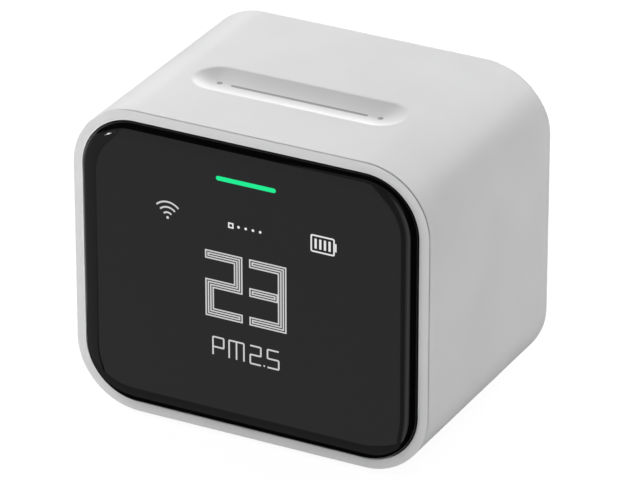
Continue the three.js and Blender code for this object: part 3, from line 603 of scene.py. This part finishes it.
class Figure:
    """Flat lit shapes gathered into one piece on the lens."""

    def __init__(self):
        self.verts, self.faces = [], []

    def prism(self, loop):
        """A filled convex outline."""
        base, count = len(self.verts), len(loop)
        for depth in (-LENS_PROUD - INK, -LENS_PROUD + INK):
            self.verts += [at(x, depth, z) for x, z in loop]
        self.faces.append(tuple(base + i for i in range(count)))
        self.faces.append(tuple(base + count + i for i in reversed(range(count))))
        for i in range(count):
            j = (i + 1) % count
            self.faces.append((base + i, base + count + i, base + count + j, base + j))

    def line(self, points, width, closed=False):
        """A mitred line along points."""
        left, right = ribbon(points, width, closed)
        base, count = len(self.verts), len(points)
        for depth in (-LENS_PROUD - INK, -LENS_PROUD + INK):
            self.verts += [at(p.x, depth, p.y) for p in left]
            self.verts += [at(p.x, depth, p.y) for p in right]
        front_left, front_right, back_left, back_right = (base + k * count for k in range(4))
        for i in range(count if closed else count - 1):
            j = (i + 1) % count
            self.faces.append((front_left + i, front_left + j, front_right + j, front_right + i))
            self.faces.append((back_left + i, back_right + i, back_right + j, back_left + j))
            self.faces.append((front_left + i, back_left + i, back_left + j, front_left + j))
            self.faces.append((front_right + i, front_right + j, back_right + j, back_right + i))
        if not closed:
            for i in (0, count - 1):
                self.faces.append((front_left + i, front_right + i, back_right + i, back_left + i))

    def disc(self, x, z, radius):
        """A filled round dot."""
        turns = [2 * math.pi * i / DISC_STEPS for i in range(DISC_STEPS)]
        self.prism([(x + radius * math.cos(a), z + radius * math.sin(a)) for a in turns])

    def piece(self, name, mat):
        """The finished object."""
        new_object(name, self.verts, self.faces, mat)


def rounded(points, radius):
    """A polyline with its corners rounded."""
    out = [Vector(points[0])]
    for before, corner, after in zip(points, points[1:], points[2:]):
        before, corner, after = Vector(before), Vector(corner), Vector(after)
        reach = min(radius, (before - corner).length / 2, (after - corner).length / 2)
        start = corner + (before - corner).normalized() * reach
        end = corner + (after - corner).normalized() * reach
        for i in range(CORNER_STEPS + 1):
            t = i / CORNER_STEPS
            out.append((1 - t) ** 2 * start + 2 * t * (1 - t) * corner + t * t * end)
    out.append(Vector(points[-1]))
    return [tuple(p) for p in out]


def stroke(figure, points, width, line_width):
    """A wide stroke drawn as nested thin loops round a middle line; the inner loops are shorter."""
    pitch = (width - line_width) / (2 * STROKE_LOOPS - 1)
    before_start = (Vector(points[0]) - Vector(points[1])).normalized()
    past_end = (Vector(points[-1]) - Vector(points[-2])).normalized()
    for ring in range(1, STROKE_LOOPS + 1):
        away, short = (ring - 0.5) * pitch, (STROKE_LOOPS - ring) * pitch
        start, end = Vector(points[0]) - before_start * short, Vector(points[-1]) - past_end * short
        left, right = ribbon([start, *points[1:-1], end], 2 * away, False)
        figure.line(left + right[::-1], line_width, True)


def big_number():
    """The reading, in wide strokes made of nested lines."""
    figure = Figure()
    wide, thin, gap = 1.5, 0.24, 0.1
    half = wide / 2
    top, low = 6.02, -5.44
    mid = (top + low) / 2
    left_a, right_a = -7.09, -0.53
    left_b, right_b = 0.65, 7.15
    two = [
        (left_a + thin / 2, top - half),
        (right_a - half, top - half),
        (right_a - half, mid),
        (left_a + half, mid),
        (left_a + half, low + half),
        (right_a - thin / 2, low + half),
    ]
    stroke(figure, two, wide, thin)
    three = [
        (left_b + thin / 2, top - half),
        (right_b - half, top - half),
        (right_b - half, low + half),
        (left_b + thin / 2, low + half),
    ]
    stroke(figure, three, wide, thin)
    stroke(figure, [(left_b + thin / 2, mid), (right_b - wide - gap, mid)], wide, thin)
    figure.piece("display_number", GLOW_DIM)


def label():
    """The measured quantity's name, in single thin lines."""
    figure = Figure()
    thin, corner = 0.27, 0.18
    top, low, mid, bowl = -8.94, -12.06, -10.5, -10.66

    def letter(*points):
        figure.line(rounded(points, corner), thin)

    x, w = -5.84, 1.91
    letter((x, low), (x, top), (x + w, top), (x + w, bowl), (x, bowl))
    x, w = -2.98, 2.61
    letter((x, low), (x, top), (x + w, top), (x + w, low))
    figure.line([(x + w / 2, low), (x + w / 2, top)], thin)
    x, w = 0.75, 1.87
    letter((x, top), (x + w, top), (x + w, mid), (x, mid), (x, low), (x + w, low))
    figure.disc(3.22, low + 0.08, 0.15)
    x, w = 3.79, 1.97
    letter((x + w, top), (x, top), (x, mid), (x + w, mid), (x + w, low), (x, low))
    figure.piece("display_label", GLOW_DIM)


def wifi_icon():
    """Three arcs over a dot."""
    figure = Figure()
    cx, cz = -13.63, 9.88
    steps = 12
    for radius in (2.75, 1.85, 0.95):
        turns = [math.radians(45 + 90 * i / steps) for i in range(steps + 1)]
        figure.line([(cx + radius * math.cos(a), cz + radius * math.sin(a)) for a in turns], 0.29)
    figure.disc(cx, cz + 0.05, 0.24)
    figure.piece("display_wireless", GLOW_DIM)


def battery_icon():
    """A rounded box with a terminal and four bars."""
    figure = Figure()
    cx, cz = 13.43, 11.34
    half_w, half_h, thin = 1.96, 1.37, 0.26
    left, right, top, low = cx - half_w, cx + half_w, cz + half_h, cz - half_h
    ring = [(left, cz), (left, top), (right, top), (right, low), (left, low), (left, cz - 0.001)]
    figure.line(rounded(ring, 0.25), thin)
    figure.line([(right + 0.3, cz - 0.7), (right + 0.3, cz + 0.7)], thin)
    for i in range(4):
        x = cx - 1.2 + 0.8 * i
        figure.line([(x, cz - 0.85), (x, cz + 0.85)], 0.38)
    figure.piece("display_battery", GLOW_WHITE)


def page_marks():
    """One hollow square and four dots."""
    figure = Figure()
    x, z, half = -2.5, 11.07, 0.36
    square = [(x - half, z - half), (x - half, z + half), (x + half, z + half), (x + half, z - half)]
    figure.line(square, 0.24, True)
    for step in range(4):
        figure.disc(-1.16 + 1.26 * step, z, 0.23)
    figure.piece("display_pages", GLOW_WHITE)


def status_bar():
    """A green capsule."""
    figure = Figure()
    cx, cz, half_w, half_h = 0.17, 18.69, 5.2, 0.38
    figure.prism([(x + cx, z + cz) for x, z in outline(half_w, half_h, half_h - 0.005, 8)])
    figure.piece("display_status_bar", GLOW_GREEN)


# ---------------------------------------------------------------- rear cover, foot, inlet
COVER = {"inset": 1.9, "wall": 1.1, "edge": 0.4, "skirt": 37.4, "inside": 41.4, "face": 43.0}
SLOT = {"width": 1.5, "length": 10.4, "pitch": 3.2, "columns": 14, "rows": (14.2, 2.4)}
SMALL_SLOTS = {"middle": (19, -16.6), "length": 6, "steps": (-1, 0, 1)}
INLET = {"half_w": 4.97, "half_h": 2.13, "radius": 2.12, "middle": (0, -17.6)}


def slot_cutter(x, z, length, depths):
    """An upright round-ended slot."""
    return cutting_slab(SLOT["width"] / 2, length / 2, SLOT["width"] / 2 - 0.001, depths, (x, z), 6)


def cover_cutters(depths):
    """The air slots, the climate sensor's slots and the inlet's opening, in one object."""
    cutters = []
    for z in SLOT["rows"]:
        for i in range(SLOT["columns"]):
            x = (i - (SLOT["columns"] - 1) / 2) * SLOT["pitch"]
            cutters.append(slot_cutter(x, z, SLOT["length"], depths))
    middle_x, middle_z = SMALL_SLOTS["middle"]
    for step in SMALL_SLOTS["steps"]:
        cutters.append(slot_cutter(middle_x + step * SLOT["pitch"], middle_z, SMALL_SLOTS["length"], depths))
    cutters.append(
        cutting_slab(INLET["half_w"], INLET["half_h"], INLET["radius"], depths, INLET["middle"], 10)
    )
    chosen = {"selected_editable_objects": cutters, "selected_objects": cutters}
    with bpy.context.temp_override(active_object=cutters[0], **chosen):
        bpy.ops.object.join()
    return cutters[0]


def rear_cover():
    """The cover set into the sleeve's back: a shell with a skirt, its face cut by slots."""
    inset, wall, edge, skirt, inside, face = COVER.values()  # the last three are depths
    profile = [(inset + wall, skirt), (inset, skirt)] + fillet(inset + edge, face - edge, edge, 180, 90, 5)
    profile += [(inset + wall, inside)]
    rings, count = len(profile), len(body_outline(0))
    faces = bands(rings - 1, count)
    floor = (rings - 1) * count  # the inside's outline, joined to the skirt's edge
    for i in range(count):
        j = (i + 1) % count
        faces.append((i, floor + i, floor + j, j))
    faces.append(tuple(range(floor, floor + count)))
    faces.append(tuple(range(floor - count, floor)))
    verts = ring_points([(body_outline(i), depth) for i, depth in profile])
    cover = new_object("rear_cover_surface", verts, faces, WHITE_REAR)
    cut(cover, cover_cutters((inside - 1, face + 1)))
    soften(cover, 0.14, 2, 45)
    smooth(cover, 60)
    weigh_normals(cover)
    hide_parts("rear_cover")


def foot_pad():
    """The rubber pad that it stands on, with a rounded lower edge."""
    low, high = FOOT_LOW.z / MM - MIDDLE, FOOT_HIGH.z / MM - MIDDLE
    half_x, half_y = (FOOT_HIGH.x - FOOT_LOW.x) / 2 / MM, (FOOT_HIGH.y - FOOT_LOW.y) / 2 / MM
    middle = (FOOT_LOW.y + FOOT_HIGH.y) / 2 / MM - FACE
    corner = 6
    rows = [(0.35, low), (0.1, low + 0.12), (0, low + 0.35), (0, high)]
    verts = []
    for inset, height in rows:
        points = outline(half_x - inset, half_y - inset, corner - inset, 16)
        verts += [at(x, middle + y, height) for x, y in points]
    count = len(verts) // len(rows)
    pad = new_object("foot_pad_surface", verts, ends(len(rows), count) + bands(len(rows), count), RUBBER)
    smooth(pad, 40)
    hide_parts("foot_pad")


# ---------------------------------------------------------------- carried-over CAD nodes
def finish_nodes():
    """Every CAD node that still shows gets its slot's finish."""
    for part in frame["record"]["subparts"]:
        node = frame["nodes"][part["node"]]
        if node.hide_render:
            continue
        node.data.materials.clear()
        node.data.materials.append(FINISHES[part["material_slot"]])


# ---------------------------------------------------------------- stage, light and camera
STUDIO_MIDDLE = Vector((0, 0, 0.03))  # metres; what every light faces
# Azimuths are 0 in front and 90 on the right, in degrees; distances and sizes are in metres, power in watts.
SOFTBOXES = [  # azimuth, elevation, distance, size, power, seen in gloss
    ("rear_low", 180, 4, 0.7, 0.35, 14.8, True),
    ("rear_left", 225, 30, 0.7, 0.35, 1.07, True),
    ("left", 270, 30, 0.7, 0.35, 1.05, False),
    ("front_left", 330, 50, 0.7, 0.35, 0.60, False),
    ("near_box", 330, 50, 0.22, 0.08, 0.055, False),
]
STRIP_HEIGHT, STRIP_TALL = 0.026, 0.044  # strips stand below the object's top, so they light only its sides
STRIPS = [  # azimuth, distance, width, power
    ("strip_left", 300, 0.7, 0.35, 0.92),
    ("strip_right", 90, 0.7, 0.35, 0.58),
    ("strip_near", 325, 0.2, 0.06, 0.042),
]
AMBIENT = 0.229  # the world's strength


def area_light(name, place, wide, tall, watts, in_gloss):
    """A softbox facing the middle of the studio, out of every view."""
    data = bpy.data.lights.new(name, "AREA")
    data.shape = "RECTANGLE"
    data.size, data.size_y = wide, tall
    data.energy = watts
    light = bpy.data.objects.new(name, data)
    bpy.context.scene.collection.objects.link(light)
    light.location = place
    light.rotation_euler = (STUDIO_MIDDLE - place).to_track_quat("-Z", "Y").to_euler()
    light.visible_camera = False
    light.visible_glossy = in_gloss


def heading(azimuth, elevation):
    """A unit vector from the middle of the studio."""
    az, el = math.radians(azimuth), math.radians(elevation)
    return Vector((math.sin(az) * math.cos(el), -math.cos(az) * math.cos(el), math.sin(el)))


def flat_stage(name, corners, mat):
    """One face of the studio, which isn't part of the object."""
    mesh = bpy.data.meshes.new(name)
    mesh.from_pydata([tuple(c) for c in corners], [], [tuple(range(len(corners)))])
    mesh.materials.append(mat)
    obj = bpy.data.objects.new(name, mesh)
    bpy.context.scene.collection.objects.link(obj)
    return obj


FLOOR = {"half": 6.0, "paper": (0.9, 0.9, 0.9, 1), "glow": 1.1, "glow_share": 0.85}


def floor():
    """A pale floor: plain paper to the object, nearly white to the camera, and hidden from gloss."""
    mat = bpy.data.materials.new("floor")
    mat.use_nodes = True
    nodes, links = mat.node_tree.nodes, mat.node_tree.links
    nodes.clear()
    out = nodes.new("ShaderNodeOutputMaterial")
    seen = nodes.new("ShaderNodeMixShader")
    rays = nodes.new("ShaderNodeLightPath")
    paper = nodes.new("ShaderNodeBsdfDiffuse")
    paper.inputs["Color"].default_value = FLOOR["paper"]
    bright = nodes.new("ShaderNodeEmission")
    bright.inputs["Strength"].default_value = FLOOR["glow"]
    blend = nodes.new("ShaderNodeMixShader")
    blend.inputs["Fac"].default_value = FLOOR["glow_share"]
    links.new(rays.outputs["Is Camera Ray"], seen.inputs["Fac"])
    links.new(paper.outputs[0], blend.inputs[1])
    links.new(bright.outputs[0], blend.inputs[2])
    links.new(paper.outputs[0], seen.inputs[1])
    links.new(blend.outputs[0], seen.inputs[2])
    links.new(seen.outputs[0], out.inputs["Surface"])
    corners = [(x * FLOOR["half"], y * FLOOR["half"], 0) for x, y in ((-1, -1), (1, -1), (1, 1), (-1, 1))]
    flat_stage("floor", corners, mat).visible_glossy = False


def world():
    """White to the camera, a soft ambient light on the object, dark in its gloss."""
    scene_world = bpy.data.worlds.new("studio")
    bpy.context.scene.world = scene_world
    scene_world.use_nodes = True
    nodes, links = scene_world.node_tree.nodes, scene_world.node_tree.links
    ambient = nodes["Background"]
    ambient.inputs["Color"].default_value = (1, 1, 1, 1)
    rays = nodes.new("ShaderNodeLightPath")
    dim = nodes.new("ShaderNodeMapRange")
    dim.inputs["To Min"].default_value = AMBIENT
    dim.inputs["To Max"].default_value = 0.0
    links.new(rays.outputs["Is Glossy Ray"], dim.inputs["Value"])
    white = nodes.new("ShaderNodeMapRange")
    white.inputs["To Max"].default_value = 1.0
    links.new(rays.outputs["Is Camera Ray"], white.inputs["Value"])
    links.new(dim.outputs["Result"], white.inputs["To Min"])
    links.new(white.outputs["Result"], ambient.inputs["Strength"])


def hidden_card(name, corners, kind, socket, value):
    """A sheet with one plain shader, out of every view."""
    mat = bpy.data.materials.new(name)
    mat.use_nodes = True
    nodes, links = mat.node_tree.nodes, mat.node_tree.links
    nodes.clear()
    out = nodes.new("ShaderNodeOutputMaterial")
    shader = nodes.new(kind)
    shader.inputs[socket].default_value = value
    links.new(shader.outputs[0], out.inputs["Surface"])
    card = flat_stage(name, corners, mat)
    card.visible_camera = False
    card.visible_diffuse = False
    card.visible_transmission = False
    return card


def reflector(name, corners, strength):
    """A glowing card, its corners in mm, that only the object's gloss sees."""
    place = [Vector(c) * MM for c in corners]
    hidden_card(name, place, "ShaderNodeEmission", "Strength", strength).visible_shadow = False


def scrim(name, corners, passes, in_gloss):
    """A grey veil that lets only a share of the light through to one hidden side of the object."""
    veil = (passes, passes, passes, 1)
    card = hidden_card(name, corners, "ShaderNodeBsdfTransparent", "Color", veil)
    card.visible_glossy = in_gloss


SCRIM_BACK = {"behind": 15, "inset": 0.3, "passes": 0.15}
SCRIM_LEFT = {"beside": 12, "front": 1, "below_top": 3, "passes": 0.4}


def scrims():
    """Behind the back and beside the left side, inside their outlines, so that no other side is touched."""
    depth, across = DEPTH + SCRIM_BACK["behind"], -HALF_W - SCRIM_LEFT["beside"]
    corners = [at(x, depth, z) for x, z in body_outline(SCRIM_BACK["inset"])]
    scrim("scrim_back", corners, SCRIM_BACK["passes"], True)
    low, high = -HALF_H, HALF_H - SCRIM_LEFT["below_top"]
    sides = ((SCRIM_LEFT["front"], low), (DEPTH, low), (DEPTH, high), (SCRIM_LEFT["front"], high))
    scrim("scrim_left", [at(across, y, z) for y, z in sides], SCRIM_LEFT["passes"], False)


# What the lens mirrors: (corners in mm, brightness). The first five fan out over the floor from its sides.
NEAR, FAR = 6.5, 1000.0  # how far ahead of the lens those five begin and end
CARD_SIDE = 27.0  # where they start, left and right of the middle


def fan_out(side, slope, ahead):
    """A floor point that far ahead of the lens, on a line from its left (-1) or right (1) side."""
    return (side * CARD_SIDE - slope * ahead, LENS_FRONT - ahead, 1)


def floor_strip(left, right):
    """A floor card between two lines, each (side, slope)."""
    return [fan_out(*right, NEAR), fan_out(*right, FAR), fan_out(*left, FAR), fan_out(*left, NEAR)]


CARDS = {
    "card_main": (floor_strip((-1, 0.612), (1, 0.36)), 0.95),
    "card_shade": (floor_strip((1, 0.36), (1, 0.18)), 0.4),
    "card_ridge_left": (floor_strip((1, 0.18), (1, 0.12)), 1.1),
    "card_ridge": (floor_strip((1, 0.12), (1, 0.03)), 1.8),
    "card_ridge_right": (floor_strip((1, 0.03), (1, -0.05)), 1.0),
    "card_near": ([(27, -24.4, 1), (27, -29, 1), (-60, -29, 1), (-60, -24.4, 1)], 0.42),
    "card_left": ([(-32, -29, 1), (-639, -1022, 1), (-300, 80, 1), (-60, 80, 1), (-60, -29, 1)], 0.6),
    "card_left_wall": ([(-300, -260, 1), (-300, -260, 75), (-300, 80, 75), (-300, 80, 1)], 0.5),
    "card_front": ([(-118, -300, 44), (150, -300, 44), (150, -300, 260), (-130, -300, 260)], 0.45),
}
GLINT = {"ends": ((-158, -198, 2), (-170, -220, 2)), "width": 8, "strength": 60.0}  # mm


def glint():
    """A small bright strip on the floor in front, mirrored as a streak in the lens's upper left corner."""
    near, far = (Vector(end) for end in GLINT["ends"])
    across = (far - near).cross(Vector((0, 0, 1))).normalized() * GLINT["width"] / 2
    corners = [near - across, near + across, far + across, far - across]
    reflector("card_glint", corners, GLINT["strength"])


def stage_and_light():
    """The floor, the world, the lights, and the cards round the object."""
    floor()
    world()
    for name, azimuth, elevation, away, size, watts, in_gloss in SOFTBOXES:
        place = STUDIO_MIDDLE + heading(azimuth, elevation) * away
        area_light(name, place, size, size, watts, in_gloss)
    for name, azimuth, away, wide, watts in STRIPS:
        place = heading(azimuth, 0) * away + Vector((0, 0, STRIP_HEIGHT))
        area_light(name, place, wide, STRIP_TALL, watts, False)
    for name, (corners, strength) in CARDS.items():
        reflector(name, corners, strength)
    glint()
    scrims()


VIEW = {"yaw": 27.49, "pitch": 26.37, "away": 827.1, "right": 10.958, "up": 7.727}  # degrees, mm
FOCAL_PIXELS, IMAGE_WIDTH, SENSOR_WIDTH = 5340.2, 640, 36


def camera():
    """The photograph's viewpoint: a long lens, aimed a little right of the bezel's middle and above it."""
    yaw, pitch = math.radians(VIEW["yaw"]), math.radians(VIEW["pitch"])
    forward = -heading(VIEW["yaw"], VIEW["pitch"])
    right = Vector((math.cos(yaw), math.sin(yaw), 0))
    up = right.cross(forward)
    place = at(0, 0, 0) + (right * VIEW["right"] + up * VIEW["up"] - forward * VIEW["away"]) * MM
    data = bpy.data.cameras.new("camera")
    data.sensor_width = SENSOR_WIDTH
    data.lens = FOCAL_PIXELS / IMAGE_WIDTH * SENSOR_WIDTH
    data.clip_start = 0.01
    obj = bpy.data.objects.new("camera", data)
    bpy.context.scene.collection.objects.link(obj)
    obj.location = place
    obj.rotation_euler = forward.to_track_quat("-Z", "Y").to_euler()
    bpy.context.scene.camera = obj


bpy.context.scene.view_settings.view_transform = "Standard"
camera()
stage_and_light()
sleeve()
groove_marks()
bezel()
lens()
for draw in (big_number, label, wifi_icon, battery_icon, page_marks, status_bar):
    draw()
rear_cover()
foot_pad()
finish_nodes()
